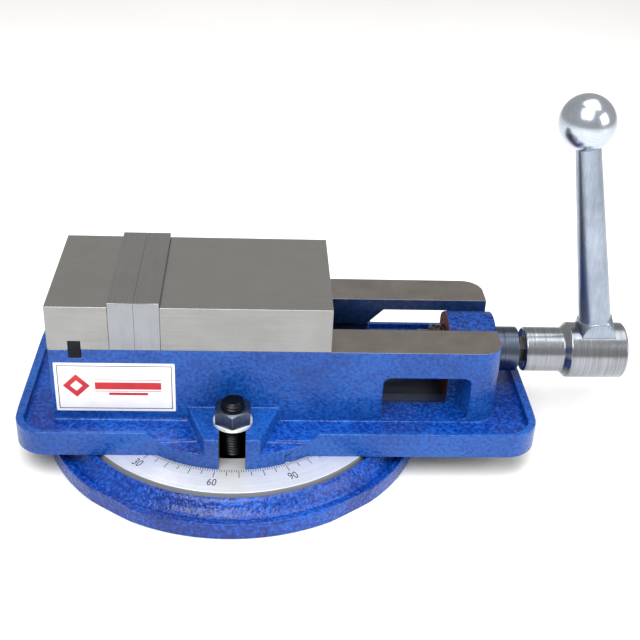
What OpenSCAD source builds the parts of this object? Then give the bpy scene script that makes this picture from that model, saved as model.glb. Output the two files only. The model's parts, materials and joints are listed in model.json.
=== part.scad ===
// Angle-lock milling vise with five inch jaws on a graduated swivel base.
// Origin: the swivel axis on the underside of the base. +X runs along the
// lead screw toward the crank, +Y away from the label side, +Z up.

/* [Jaws] */
// width of jaws and bed
jaw_w = 127; // [115:1:155]
// length of the fixed jaw along the screw
fixed_jaw_len = 49.2; // [44:0.1:60]
// length of the movable jaw along the screw
movable_jaw_len = 137.6; // [125:0.1:142]
// height of the jaws above the bed
jaw_h = 39.3; // [34:0.1:50]
// thickness of each hardened plate
plate_t = 20.4; // [18:0.1:26]
// how far the plates stand above the jaws
plate_rise = 3.9; // [0:0.1:6]

/* [Body] */
// height of the bed above the underside of the body
body_h = 83.6; // [80:0.1:101]
// swivel axis to the back of the fixed jaw
body_back = 148.5; // [145:0.1:170]
// swivel axis to the crank end of the body
body_front = 222.4; // [220:0.1:260]
// half of the gap between the rails
rail_gap = 25.8; // [24:0.1:27]
// how far the foot flange stands out of the body on each side
flange_out = 28.1; // [26.5:0.1:34]
// height of the rim of the foot flange
rim_h = 22.1; // [19:0.1:25]
// screw axis above the underside of the body
screw_h = 50.3; // [48:0.1:51]

/* [Swivel base] */
// height of the graduated ring above the table
base_h = 25.4; // [24:0.1:33]
// width of the graduated band outside the body
dial_w = 28.7; // [24:0.1:36]
// height of the outer rim of the base
base_rim_h = 14.8; // [12:0.1:17]
// half the length over the two ears
ear_reach = 177; // [174:0.5:200]
// width of the ear slots
ear_slot_w = 18; // [14:0.1:21.6]

/* [Screw and crank] */
// major diameter of the lead screw
screw_d = 28; // [26:0.1:30]
// size across flats of the hexagon end
hex_af = 21; // [17:0.1:22]
// diameter of the crank hub
hub_d = 39.2; // [36:0.1:47]
// length of the crank arm from the screw axis to the ball centre
arm_len = 215.2; // [180:0.1:260]
// lean of the arm toward the body
arm_lean = 11.65; // [6:0.05:13]
// diameter of the ball
ball_d = 45.6; // [38:0.1:55]

/* [Clamp bolts] */
// diameter of the clamp studs
stud_d = 18.8; // [15.6:0.1:20]
// size across flats of the clamp nuts
nut_af = 28.5; // [26:0.1:31]

/* [Hidden] */
// fits
run_fit = 0.05;
slip = 0.3;
film = 0.05;
// heights
bed_z = base_h + body_h;
jaw_z = bed_z + jaw_h;
plate_z = jaw_z + plate_rise;
screw_z = base_h + screw_h;
panel_z = base_h + rim_h - 6.5;
rim_z = base_h + rim_h;
// stations along the screw
fj_x0 = -body_back;
fj_x1 = fj_x0 + fixed_jaw_len;
seam_x = fj_x1 + plate_t;
mp_x0 = seam_x + 0.15;
mj_x0 = mp_x0 + plate_t;
mj_x1 = mj_x0 + movable_jaw_len;
half_w = jaw_w / 2;
bed_r = 18;
// foot flange
flange_y = half_w + flange_out;
flange_x0 = fj_x0 - 30.3;
flange_x1 = body_front + 33;
flange_r = 27;
rim_side = 4.1;
rim_end = 7;
// clamping lugs and the ring slot under them
washer_d = 32;
washer_t = 3;
nut_t = 13;
bolt_r = half_w + 20;
slot_w = stud_d + 2.5;
lug_h = 28.6;
lug_z = base_h + lug_h;
skirt_r = bolt_r + 26.8;
skirt_z = base_h + 12.9;
lug_root = 37.8;
lug_tip = 21.7;
mouth = stud_d / 2 + 2.1;
tee = mouth + 6;
tee_z0 = 4.5;
tee_z1 = base_h - 10.4;
head_rad = tee - 2.5;
head_tan = tee - 0.5;
// swivel base radii
dial_r = skirt_r + dial_w;
groove_r = dial_r + 4.6;
base_r = dial_r + 25.6;
pilot_r = 30;
pilot_h = 6;
ear_w = 76;
flat_in = 1.4;
// cavity below the rails
cav_x0 = seam_x + 8.8;
cav_y = rail_gap + 10.2;
cav_z1 = bed_z - 25;
floor_z = base_h + 17.1;
trough_y = rail_gap - 1.8;
trough_z = base_h + 8;
// bearing housing at the crank end
boss_len = 41.2;
boss_x0 = body_front + 1.6 - boss_len;
boss_x1 = body_front + 1.6;
boss_r = bed_z - screw_z - 0.7;
journal_r = screw_d / 2 - 1.5;
// thrust bearing against the inner face of the housing
brg_r = journal_r + 8.5;
brg_w = 3.2;
brg_ball = 5.2;
brg_mid = (journal_r + brg_r) / 2;
brg_n = 12;
race_r = brg_ball / 2 + 0.35;
brg_x1 = boss_x0;
brg_x0 = brg_x1 - 2 * brg_w - brg_ball;
shoulder_x = brg_x0 - 11;
// chip windows
win_x1 = boss_x0 + 14.2;
win_x0 = win_x1 - 73;
win_z1 = bed_z - 25;
win_r = 6.5;
win_top = bed_z - 10.3;
lip = 4;
// nut under the movable jaw
nut_len = 58;
nut_x1 = shoulder_x - 2 - jaw_w;
nut_x0 = nut_x1 - nut_len;
tower_y = rail_gap - 3;
seg_r = 12;
seg_x = nut_x0 + 4;
seg_z = bed_z + 12;
tower_h = 24;
tower_x1 = nut_x1 - 12;
pocket_h = tower_h + 3;
pocket_x1 = tower_x1 + 4;
pocket_y = tower_y + 0.8;
// collar and crank
collar_x0 = boss_x1 + 0.3;
collar_len = 23;
collar_x1 = collar_x0 + collar_len;
collar_r = hub_d / 2;
hub_x0 = collar_x1 + 5.3;
hub_len = 34.1;
flare = 5.3;
head_x0 = hub_x0 + hub_len + flare;
head_len = 50;
head_x1 = head_x0 + head_len;
hub_r = hub_d / 2;
head_r = hub_r + 5;
hex_end = hub_x0 + 37;
arm_x = head_x0 + 28;
foot_w = 28.4;
foot_in = 9;
foot_out = 30;
arm_r0 = 14.9;
arm_r1 = 10.2;
tenon_r = 7;
tenon_in = 15;
ball_r = ball_d / 2;
arm_top = arm_len - ball_r + 2.6;
// fixed jaw key and bolts
key_w = 10;
key_h = 15.8;
key_x = fj_x0 + 21.5;
jbolt_r = 7;
jbolt_x = key_x + 15;
jbolt_y = half_w - 45;
jbolt_head = 10.5;
jbolt_seat = bed_z - 40;
jbolt_up = 22;
// plate screws
ps_r = 6;
ps_head = 9;
ps_deep = 13;
ps_y = half_w - 25;
ps_z = bed_z + 21;
ps_in = 20;
// label
label_w = 97.5;
label_h = 46.7;
label_x = fj_x0 + 3.4;
label_z = panel_z + 9;
label_t = 0.5;

// ---- helpers ----
module bar_x(x0, x1, r) {
  translate([x0, 0, screw_z]) rotate([0, 90, 0]) cylinder(r = r, h = x1 - x0, $fn = 64);
}

module cone_x(x0, x1, r0, r1) {
  translate([x0, 0, screw_z]) rotate([0, 90, 0])
    cylinder(r1 = r0, r2 = r1, h = x1 - x0, $fn = 64);
}

module box(x0, x1, y0, y1, z0, z1) {
  translate([x0, y0, z0]) cube([x1 - x0, y1 - y0, z1 - z0]);
}

module round_rect(x0, x1, y0, y1, r) {
  union() {
    translate([x0 + r, y0]) square([x1 - x0 - 2 * r, y1 - y0]);
    translate([x0, y0 + r]) square([x1 - x0, y1 - y0 - 2 * r]);
    for (cx = [x0 + r, x1 - r], cy = [y0 + r, y1 - r])
      translate([cx, cy]) circle(r = r, $fn = 64);
  }
}

module hexagon(af) {
  circle(r = af / sqrt(3), $fn = 6);
}

// a prism across the vise: points are [x, z]
module across(points, y0, y1) {
  translate([0, y1, 0]) rotate([90, 0, 0]) linear_extrude(height = y1 - y0) polygon(points);
}

// a prism along the vise: points are [y, z]
module along(points, x0, x1) {
  translate([x0, 0, 0]) rotate([90, 0, 90]) linear_extrude(height = x1 - x0) polygon(points);
}

module lean() {
  translate([arm_x, 0, screw_z]) rotate([0, -arm_lean, 0]) children();
}

// ---- swivel base ----
module base_profile() {
  polygon([[0, 0], [base_r - 1, 0], [base_r, 1], [base_r, base_rim_h - 1.8],
    [base_r - 0.6, base_rim_h - 0.6], [base_r - 1.8, base_rim_h], [base_r - 5, base_rim_h],
    [base_r - 6.4, base_rim_h - 0.9], [base_r - 7.6, base_rim_h - 1.3],
    [base_r - 8.8, base_rim_h - 1.1], [groove_r + 8.6, base_rim_h + 0.9],
    [groove_r + 5.4, base_h - 5.6], [groove_r + 3.6, base_h - 3],
    [groove_r + 2, base_h - 1.5], [groove_r, base_h - 0.8], [groove_r, base_h - 8],
    [dial_r, base_h - 8], [dial_r, base_h], [0, base_h]]);
}

module swivel_base() {
  color("#2A55A5") difference() {
    union() {
      rotate_extrude($fn = 128) base_profile();
      for (s = [0, 180]) rotate([0, 0, s]) linear_extrude(height = base_rim_h)
        round_rect(base_r - 30, ear_reach, -ear_w / 2, ear_w / 2, 12);
      translate([0, 0, base_h - 1]) cylinder(r = pilot_r, h = pilot_h + 1, $fn = 64);
    }
    // annular tee slot for the clamp bolts
    rotate_extrude($fn = 128) translate([bolt_r - mouth, tee_z0])
      square([2 * mouth, base_h]);
    rotate_extrude($fn = 128) translate([bolt_r - tee, tee_z0])
      square([2 * tee, tee_z1 - tee_z0]);
    // holes that let the tee heads in from below
    for (s = [0, 180]) rotate([0, 0, s]) translate([bolt_r, 0, -1])
      cylinder(r = tee + 0.6, h = tee_z0 + 2, $fn = 64);
    // open slots for the table bolts
    for (s = [0, 180]) rotate([0, 0, s]) {
      translate([groove_r + 18, 0, -1])
        cylinder(r = ear_slot_w / 2, h = base_h + 2, $fn = 64);
      box(groove_r + 18, ear_reach + 5, -ear_slot_w / 2, ear_slot_w / 2, -1, base_h + 1);
    }
    // shallow flats on the round edge
    for (a = [54, 126, 234, 306]) rotate([0, 0, a])
      box(base_r - flat_in, base_r + 5, -40, 40, -1, base_h);
  }
}

// ---- body ----
module lug_plan() {
  polygon([[-lug_root, -half_w + 2], [-lug_root, -half_w], [-lug_tip, -skirt_r],
    [-lug_tip, -skirt_r - 5], [lug_tip, -skirt_r - 5], [lug_tip, -skirt_r],
    [lug_root, -half_w], [lug_root, -half_w + 2]]);
}

// round skirt under the flange with the two lugs that stand on it
module skirt_and_lugs() {
  intersection() {
    translate([0, 0, base_h]) cylinder(r = skirt_r, h = lug_h, $fn = 128);
    union() {
      rotate_extrude($fn = 128) polygon([[0, base_h - 1], [skirt_r + 4, base_h - 1],
        [skirt_r + 4, skirt_z - 0.4], [bolt_r + 3, panel_z], [0, panel_z]]);
      for (s = [0, 180]) rotate([0, 0, s]) translate([0, 0, base_h - 1])
        linear_extrude(height = lug_h + 2) lug_plan();
    }
  }
}

module rim() {
  difference() {
    translate([0, 0, panel_z - 1]) linear_extrude(height = rim_z - panel_z + 1) difference() {
      round_rect(flange_x0, flange_x1, -flange_y, flange_y, flange_r);
      round_rect(flange_x0 + rim_end, flange_x1 - rim_end, -flange_y + rim_side,
        flange_y - rim_side, flange_r - rim_side - 1);
    }
    // the rim slopes down to the skirt on each side of a lug
    across([[-60.9, skirt_z], [-70.4, rim_z + 0.3], [-70.4, rim_z + 5], [70.4, rim_z + 5],
      [70.4, rim_z + 0.3], [60.9, skirt_z]], -flange_y - 1, flange_y + 1);
  }
}

module window_tunnel() {
  // straight lip with rounded corners
  translate([0, -half_w + lip, 0]) rotate([90, 0, 0]) linear_extrude(height = lip + 1)
    round_rect(win_x0, win_x1, floor_z, win_z1, win_r);
  // tapering part up to the gap between the rails
  intersection() {
    translate([0, 0, floor_z]) linear_extrude(height = 100)
      polygon([[win_x0, -half_w + lip - 0.2], [win_x1, -half_w + lip - 0.2],
        [win_x1 - 9.8, -rail_gap + 1], [win_x0 - 8, -rail_gap + 1]]);
    along([[-half_w, floor_z - 1], [-half_w, win_z1], [-half_w + lip, win_z1],
      [-rail_gap, win_top], [-rail_gap + 2, win_top], [-rail_gap + 2, floor_z - 1]],
      win_x0 - 20, win_x1 + 5);
    across([[win_x0 - 8, floor_z - 1], [win_x0 - 8, win_top - 15], [win_x0 + 7, win_top],
      [win_x1 + 5, win_top], [win_x1 + 5, floor_z - 1]], -half_w, -rail_gap + 2);
  }
}

module body_solid() {
  translate([0, 0, base_h]) linear_extrude(height = panel_z - base_h)
    round_rect(flange_x0, flange_x1, -flange_y, flange_y, flange_r);
  rim();
  skirt_and_lugs();
  translate([0, 0, base_h]) linear_extrude(height = body_h) union() {
    translate([fj_x0, -half_w]) square([body_front - fj_x0 - bed_r, jaw_w]);
    round_rect(body_front - 60, body_front, -half_w, half_w, bed_r);
  }
}

module body_hollow() {
  // gap between the rails and the wider way for the nut below it
  box(cav_x0, body_front + 1, -rail_gap, rail_gap, cav_z1 - 1, bed_z + 1);
  box(cav_x0, boss_x0, -cav_y, cav_y, floor_z, cav_z1);
  box(cav_x0, boss_x0, -trough_y, trough_y, trough_z, floor_z + 1);
  for (s = [0, 1]) mirror([0, s, 0]) window_tunnel();
}

module vise_body() {
  color("#2A55A5") difference() {
    union() {
      difference() {
        body_solid();
        body_hollow();
      }
      // bearing housing: a dome over the screw joined to both rails
      intersection() {
        bar_x(boss_x0, boss_x1, boss_r);
        box(boss_x0, boss_x1, -rail_gap - 2, rail_gap + 2, base_h + 10, bed_z);
      }
      box(boss_x0, body_front, -cav_y - 1, cav_y + 1, base_h + 1, screw_z);
    }
    // bore for the screw journal
    bar_x(boss_x0 - 1, boss_x1 + 1, journal_r + run_fit);
    // pilot bore over the base
    translate([0, 0, base_h - 1]) cylinder(r = pilot_r + run_fit, h = 12, $fn = 64);
    // open slots for the clamp bolts
    for (s = [0, 180]) rotate([0, 0, s]) {
      translate([0, -bolt_r + 2, base_h - 1]) cylinder(r = slot_w / 2, h = lug_h + 2, $fn = 64);
      box(-slot_w / 2, slot_w / 2, -skirt_r - 1, -bolt_r + 2, base_h - 1, lug_z + 1);
    }
    // bolts that hold the fixed jaw from below
    for (s = [-1, 1]) translate([jbolt_x, s * jbolt_y, 0]) {
      translate([0, 0, base_h - 1])
        cylinder(r = jbolt_head + 1, h = jbolt_seat - base_h + 1, $fn = 48);
      translate([0, 0, base_h]) cylinder(r = jbolt_r + slip, h = body_h + 1, $fn = 48);
    }
    // key seat
    box(key_x - key_w / 2, key_x + key_w / 2, -half_w - 1, half_w + 1,
      bed_z - key_h / 2, bed_z + 1);
    // machined index notch over the skirt
    rotate([0, 0, 24.2]) translate([0, -skirt_r - 1.6, base_h - 1])
      cylinder(r = 3, h = 9, $fn = 32);
  }
}

// ---- jaws ----
module fixed_jaw() {
  color("#9A958C") difference() {
    box(fj_x0, fj_x1, -half_w, half_w, bed_z, jaw_z);
    box(key_x - key_w / 2, key_x + key_w / 2, -half_w - 1, half_w + 1,
      bed_z - 1, bed_z + key_h / 2);
    for (s = [-1, 1]) {
      translate([jbolt_x, s * jbolt_y, bed_z - 1])
        cylinder(r = jbolt_r + run_fit, h = jbolt_up + 3, $fn = 48);
      translate([fj_x1 - ps_in - 2, s * ps_y, ps_z]) rotate([0, 90, 0])
        cylinder(r = ps_r + run_fit, h = ps_in + 3, $fn = 48);
    }
  }
}

module movable_jaw() {
  color("#9A958C") difference() {
    box(mj_x0, mj_x1, -half_w, half_w, bed_z + film, jaw_z);
    // pocket for the head of the nut, with the seat of the half ball
    across([[seg_x + seg_z - bed_z - 1.4 + 1, bed_z - 1],
      [seg_x + seg_z - bed_z - 1.4 - pocket_h, bed_z + pocket_h],
      [pocket_x1, bed_z + pocket_h], [pocket_x1, bed_z - 1]], -pocket_y, pocket_y);
    translate([seg_x, 0, seg_z]) sphere(r = seg_r + run_fit, $fn = 64);
    // set screw hole from the crank end
    translate([pocket_x1 - 1, 0, bed_z + 12]) rotate([0, 90, 0])
      cylinder(r = 5 + run_fit, h = mj_x1 - pocket_x1 + 2, $fn = 48);
    for (s = [-1, 1]) translate([mj_x0 - 1, s * ps_y, ps_z]) rotate([0, 90, 0])
      cylinder(r = ps_r + run_fit, h = ps_in + 3, $fn = 48);
  }
}

module plate_blank(x0, z0) {
  box(x0, x0 + plate_t, -half_w, half_w, z0, plate_z);
}

module fixed_jaw_plate() {
  color("#A6A39C") difference() {
    plate_blank(fj_x1, bed_z);
    for (s = [-1, 1]) translate([fj_x1 - 1, s * ps_y, ps_z]) rotate([0, 90, 0]) {
      cylinder(r = ps_r + slip, h = plate_t + 2, $fn = 48);
      translate([0, 0, plate_t - ps_deep + 1])
        cylinder(r = ps_head + slip, h = ps_deep + 1, $fn = 48);
    }
  }
}

module movable_jaw_plate() {
  color("#A6A39C") difference() {
    plate_blank(mp_x0, bed_z + film);
    for (s = [-1, 1]) translate([mp_x0 - 1, s * ps_y, ps_z]) rotate([0, 90, 0]) {
      cylinder(r = ps_r + slip, h = plate_t + 2, $fn = 48);
      cylinder(r = ps_head + slip, h = ps_deep + 1, $fn = 48);
    }
  }
}

// socket head screw along +X with its head toward +X, seat at x = 0
module socket_screw(r, rh, hh, len, key) {
  rotate([0, 90, 0]) difference() {
    union() {
      cylinder(r = rh, h = hh, $fn = 48);
      translate([0, 0, -len]) cylinder(r = r, h = len + 1, $fn = 48);
    }
    translate([0, 0, hh / 2]) linear_extrude(height = hh) hexagon(key);
  }
}

module fixed_plate_screws() {
  color("#2B2B2E") for (s = [-1, 1])
    translate([seam_x - ps_deep, s * ps_y, ps_z])
      socket_screw(ps_r, ps_head, 12, plate_t - ps_deep + ps_in, 10);
}

module movable_plate_screws() {
  color("#2B2B2E") for (s = [-1, 1])
    translate([mp_x0 + ps_deep, s * ps_y, ps_z]) mirror([1, 0, 0])
      socket_screw(ps_r, ps_head, 12, plate_t - ps_deep + ps_in, 10);
}

module fixed_jaw_bolts() {
  color("#2B2B2E") for (s = [-1, 1]) translate([jbolt_x, s * jbolt_y, jbolt_seat])
    rotate([0, 90, 0]) socket_screw(jbolt_r, jbolt_head, 14, bed_z + jbolt_up - jbolt_seat, 12);
}

module jaw_key() {
  color("#1E1E20") box(key_x - key_w / 2, key_x + key_w / 2, -half_w + 0.2, half_w - 0.2,
    bed_z - key_h / 2, bed_z + key_h / 2);
}

// ---- screw, nut and bearing ----
module lead_screw() {
  color("#6E6B66") union() {
    bar_x(nut_x0 - 16, shoulder_x - 4, screw_d / 2);
    bar_x(shoulder_x - 4, shoulder_x, journal_r - 1);
    bar_x(shoulder_x, brg_x0, brg_r - 5);
    bar_x(brg_x0, collar_x1 + 0.5, journal_r);
    translate([collar_x1 + 0.5, 0, screw_z]) rotate([0, 90, 0])
      linear_extrude(height = hex_end - collar_x1 - 0.5) hexagon(hex_af);
  }
}

module jaw_nut() {
  color("#4E4C49") difference() {
    union() {
      box(nut_x0, nut_x1, -cav_y + 0.6, cav_y - 0.6, floor_z + 6, cav_z1 - film);
      box(nut_x0, nut_x1, -rail_gap + 0.4, rail_gap - 0.4, cav_z1 - 2, bed_z - 1);
      // head that hooks over the half ball
      across([[seg_x + seg_z - bed_z + 2, bed_z - 2],
        [seg_x + seg_z - bed_z - tower_h, bed_z + tower_h],
        [tower_x1, bed_z + tower_h], [tower_x1, bed_z - 2]], -tower_y, tower_y);
    }
    bar_x(nut_x0 - 1, nut_x1 + 1, screw_d / 2 + run_fit);
  }
}

module half_ball_segment() {
  color("#55534F") difference() {
    translate([seg_x, 0, seg_z]) sphere(r = seg_r, $fn = 64);
    across([[seg_x + 2 * seg_r, seg_z - 2 * seg_r], [seg_x - 2 * seg_r, seg_z + 2 * seg_r],
      [seg_x + 2 * seg_r, seg_z + 2 * seg_r]], -2 * seg_r, 2 * seg_r);
  }
}

module jaw_set_screw() {
  color("#2B2B2E") translate([tower_x1, 0, bed_z + 12]) rotate([0, 90, 0]) difference() {
    cylinder(r = 5, h = 22, $fn = 48);
    translate([0, 0, 16]) linear_extrude(height = 8) hexagon(5);
  }
}

module ring_x(x0, x1, r_out, r_in) {
  difference() {
    bar_x(x0, x1, r_out);
    bar_x(x0 - 1, x1 + 1, r_in);
  }
}

module thrust_washer_screw() {
  color("#8A8884") difference() {
    ring_x(brg_x0, brg_x0 + brg_w, brg_r, journal_r + run_fit);
    race(brg_x0 + brg_w + brg_ball / 2);
  }
}

module thrust_washer_housing() {
  color("#8A8884") difference() {
    ring_x(brg_x1 - brg_w, brg_x1, brg_r, journal_r + run_fit);
    race(brg_x0 + brg_w + brg_ball / 2);
  }
}

module race(x) {
  translate([x, 0, screw_z]) rotate([0, 90, 0]) rotate_extrude($fn = 64)
    translate([brg_mid, 0]) circle(r = race_r, $fn = 32);
}

module thrust_balls() {
  color("#B5B3AE") for (i = [0:brg_n - 1])
    translate([brg_x0 + brg_w + brg_ball / 2, 0, screw_z]) rotate([i * 360 / brg_n, 0, 0])
      translate([0, brg_mid, 0]) sphere(r = brg_ball / 2 + 0.3, $fn = 32);
}

module thrust_cage() {
  color("#A08B4A") difference() {
    ring_x(brg_x0 + brg_w + 1.4, brg_x1 - brg_w - 1.4, brg_r - 0.6, journal_r + 0.6);
    for (i = [0:brg_n - 1])
      translate([brg_x0, 0, screw_z]) rotate([i * 360 / brg_n, 0, 0])
        translate([0, brg_mid, 0]) rotate([0, 90, 0]) cylinder(r = race_r, h = 20, $fn = 32);
  }
}

module bearing_collar() {
  color("#1B1B1E") difference() {
    union() {
      bar_x(collar_x0, collar_x1 - 1, collar_r);
      cone_x(collar_x1 - 1, collar_x1, collar_r, collar_r - 1);
    }
    bar_x(collar_x0 - 1, collar_x1 + 1, journal_r + run_fit);
    translate([collar_x0 + 9, 0, screw_z - journal_r - 26])
      cylinder(r = 3 + run_fit, h = 30, $fn = 32);
  }
}

module collar_pin() {
  color("#3A3A3D") difference() {
    translate([collar_x0 + 9, 0, screw_z - collar_r + 1])
      cylinder(r = 3, h = collar_r - journal_r - 1, $fn = 32);
    bar_x(collar_x0, collar_x1, journal_r + film);
  }
}

// ---- crank ----
module crank_hub() {
  color("#B9B7B2") difference() {
    union() {
      cone_x(hub_x0, hub_x0 + 1.2, hub_r - 1.2, hub_r);
      bar_x(hub_x0 + 1.2, head_x0 - flare, hub_r);
      cone_x(head_x0 - flare, head_x0, hub_r, head_r);
      bar_x(head_x0, head_x1 - 1.5, head_r);
      cone_x(head_x1 - 1.5, head_x1, head_r, head_r - 1.5);
    }
    translate([hub_x0 - 1, 0, screw_z]) rotate([0, 90, 0])
      linear_extrude(height = hex_end - hub_x0 + 1) hexagon(hex_af + 0.2);
    lean() translate([-foot_w / 2, -foot_w / 2, -foot_in]) cube([foot_w, foot_w, 60]);
  }
}

module crank_arm() {
  color("#B9B7B2") lean() union() {
    intersection() {
      translate([-foot_w / 2 + 0.05, -foot_w / 2 + 0.05, -foot_in])
        cube([foot_w - 0.1, foot_w - 0.1, foot_in + foot_out + 6]);
      union() {
        translate([0, 0, -foot_in]) cylinder(r = foot_w, h = foot_in + foot_out - 8, $fn = 64);
        translate([0, 0, foot_out - 8])
          cylinder(r1 = foot_w * 0.74, r2 = arm_r0, h = 12, $fn = 64);
      }
    }
    translate([0, 0, foot_out - 4])
      cylinder(r1 = arm_r0 - 0.9, r2 = arm_r1, h = arm_top - foot_out + 4, $fn = 64);
    translate([0, 0, arm_top - 1]) cylinder(r = tenon_r, h = tenon_in, $fn = 48);
  }
}

module crank_ball() {
  color("#B9B7B2") lean() difference() {
    translate([0, 0, arm_len]) sphere(r = ball_r, $fn = 96);
    translate([0, 0, arm_top - 40]) cylinder(r = arm_r1 + 4, h = 40, $fn = 64);
    translate([0, 0, arm_top - 1])
      cylinder(r = tenon_r + run_fit, h = tenon_in + 1.5, $fn = 48);
  }
}

// ---- label ----
module label_plate() {
  color("#E9E9E6") translate([0, -half_w, 0]) rotate([90, 0, 0])
    linear_extrude(height = label_t)
      round_rect(label_x, label_x + label_w, label_z, label_z + label_h, 1);
}

// ---- clamp bolts ----
module clamp_bolt() {
  color("#2C2C30") translate([0, -bolt_r, 0]) union() {
    box(-head_tan, head_tan, -head_rad, head_rad, tee_z0 + 1, tee_z1);
    cylinder(r = stud_d / 2, h = lug_z + washer_t + nut_t + 4.9, $fn = 64);
    translate([0, 0, lug_z + washer_t + nut_t + 4.9])
      cylinder(r1 = stud_d / 2, r2 = stud_d / 2 - 1.2, h = 1.2, $fn = 64);
  }
}

module stud_cut() {
  difference() {
    clamp_bolt();
    translate([0, -bolt_r, -1]) cylinder(r = stud_d, h = tee_z0 + 2, $fn = 64);
  }
}

module clamp_washer() {
  color("#D8D9D6") translate([0, -bolt_r, lug_z]) difference() {
    cylinder(r = washer_d / 2, h = washer_t, $fn = 64);
    translate([0, 0, -1]) cylinder(r = stud_d / 2 + slip, h = washer_t + 2, $fn = 64);
  }
}

module clamp_nut() {
  color("#3A3B3E") translate([0, -bolt_r, lug_z + washer_t]) difference() {
    intersection() {
      rotate([0, 0, 30]) linear_extrude(height = nut_t) hexagon(nut_af);
      union() {
        cylinder(r = nut_af, h = nut_t - 3.4, $fn = 64);
        translate([0, 0, nut_t - 3.4])
          cylinder(r1 = nut_af / 2 + 4.3, r2 = nut_af / 2 - 1, h = 3.4, $fn = 64);
      }
    }
    translate([0, 0, -1]) cylinder(r = stud_d / 2 + run_fit, h = nut_t + 2, $fn = 64);
  }
}

swivel_base();
vise_body();
fixed_jaw();
movable_jaw();
fixed_jaw_plate();
movable_jaw_plate();
fixed_plate_screws();
movable_plate_screws();
fixed_jaw_bolts();
jaw_key();
lead_screw();
jaw_nut();
half_ball_segment();
jaw_set_screw();
thrust_washer_screw();
thrust_washer_housing();
thrust_cage();
thrust_balls();
bearing_collar();
collar_pin();
crank_hub();
crank_arm();
crank_ball();
label_plate();
stud_cut();  // clamp_bolt_front
rotate([0, 0, 180]) stud_cut();  // clamp_bolt_back
clamp_washer();  // clamp_washer_front
rotate([0, 0, 180]) clamp_washer();  // clamp_washer_back
clamp_nut();  // clamp_nut_front
rotate([0, 0, 180]) clamp_nut();  // clamp_nut_back
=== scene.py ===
"""Milling vise on its swivel base: finishes, edges, threads, dial and studio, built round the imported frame."""

import json
import logging
import math
from dataclasses import dataclass, field
from enum import Enum
from typing import Sequence

import bmesh
import bpy
from bpy.types import Material, Mesh, Node, NodeSocket, NodeTree, Object
from mathutils import Matrix, Vector

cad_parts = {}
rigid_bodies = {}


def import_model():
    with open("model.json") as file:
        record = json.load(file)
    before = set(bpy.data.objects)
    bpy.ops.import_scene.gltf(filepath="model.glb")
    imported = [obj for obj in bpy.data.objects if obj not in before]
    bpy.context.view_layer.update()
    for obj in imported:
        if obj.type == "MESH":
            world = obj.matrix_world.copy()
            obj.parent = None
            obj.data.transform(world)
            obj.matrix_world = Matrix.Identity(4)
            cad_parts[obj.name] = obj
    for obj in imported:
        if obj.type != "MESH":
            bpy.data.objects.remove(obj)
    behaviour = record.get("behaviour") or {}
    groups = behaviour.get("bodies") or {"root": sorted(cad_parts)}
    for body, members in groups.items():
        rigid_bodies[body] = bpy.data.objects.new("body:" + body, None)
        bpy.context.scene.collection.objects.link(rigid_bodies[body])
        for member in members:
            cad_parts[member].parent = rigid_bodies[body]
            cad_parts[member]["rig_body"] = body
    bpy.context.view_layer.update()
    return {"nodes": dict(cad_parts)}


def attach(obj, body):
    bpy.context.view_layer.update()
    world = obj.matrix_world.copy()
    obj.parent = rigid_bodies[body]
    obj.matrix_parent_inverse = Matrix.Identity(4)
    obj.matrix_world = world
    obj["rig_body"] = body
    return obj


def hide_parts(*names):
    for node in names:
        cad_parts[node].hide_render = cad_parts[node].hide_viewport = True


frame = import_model()

LOG = logging.getLogger("vise")
MM = 0.001
SCREW_Z = 75.7  # height of the lead screw's axis in mm
SCREW_LINE = (0.0, 0.0, SCREW_Z)
PLATE_SCREW_Y = 38.5
JAW_BOLT_Y = 18.5
COAT_SHARE = 0.375  # clear coat as a share of the paint's own shine


class Slot(Enum):
    """Material slots of the record."""

    ENAMEL = "blue_enamel"
    GROUND = "ground_steel"
    POLISHED = "polished_steel"
    SCREW = "screw_steel"
    IRON = "dark_iron"
    OXIDE = "black_oxide"
    ZINC = "zinc"
    BRASS = "cage_brass"
    LABEL = "white_label"


class Body(Enum):
    """Bodies of the frame that the pieces ride on."""

    BASE = "base"
    BODY = "body"
    SCREW = "screw"
    CRANK = "crank"


class Grain(Enum):
    """Direction that a grinding or turning grain runs in."""

    ALONG_X = "x"
    ALONG_Y = "y"
    ALONG_Z = "z"
    RING_X = "ring_x"
    RING_Z = "ring_z"
    NONE = "none"


# ---------------------------------------------------------------- small helpers
def linear(hex_colour: str) -> tuple[float, float, float, float]:
    """Turns an sRGB hex colour into Blender's linear colour.

    Args:
        hex_colour: six hex digits, with or without a leading hash.

    Returns:
        Red, green, blue and an alpha of one.
    """
    digits = hex_colour.lstrip("#")
    parts = [int(digits[i : i + 2], 16) / 255 for i in (0, 2, 4)]
    made = [c / 12.92 if c <= 0.04045 else ((c + 0.055) / 1.055) ** 2.4 for c in parts]
    return (made[0], made[1], made[2], 1.0)


def add(tree: NodeTree, kind: str, links: dict | None = None,
        stops: Sequence[tuple[float, str]] = (), **settings: object) -> Node:
    """Adds a node with its settings and links.

    Args:
        tree: the tree that takes the node.
        kind: the node's Blender type.
        links: socket name or number to a value or to another node's output.
        stops: places from 0 to 1 with their hex colours, for a node that holds a colour band.
        settings: properties of the node itself.

    Returns:
        The new node.
    """
    made = tree.nodes.new(kind)
    for name, value in settings.items():
        setattr(made, name, value)
    for name, value in (links or {}).items():
        socket = made.inputs[name]
        if isinstance(value, NodeSocket):
            tree.links.new(value, socket)
        else:
            socket.default_value = value
    while stops and len(made.color_ramp.elements) < len(stops):
        made.color_ramp.elements.new(0.5)
    for number, (place, colour) in enumerate(stops):
        made.color_ramp.elements[number].position = place
        made.color_ramp.elements[number].color = linear(colour)
    return made


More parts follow.
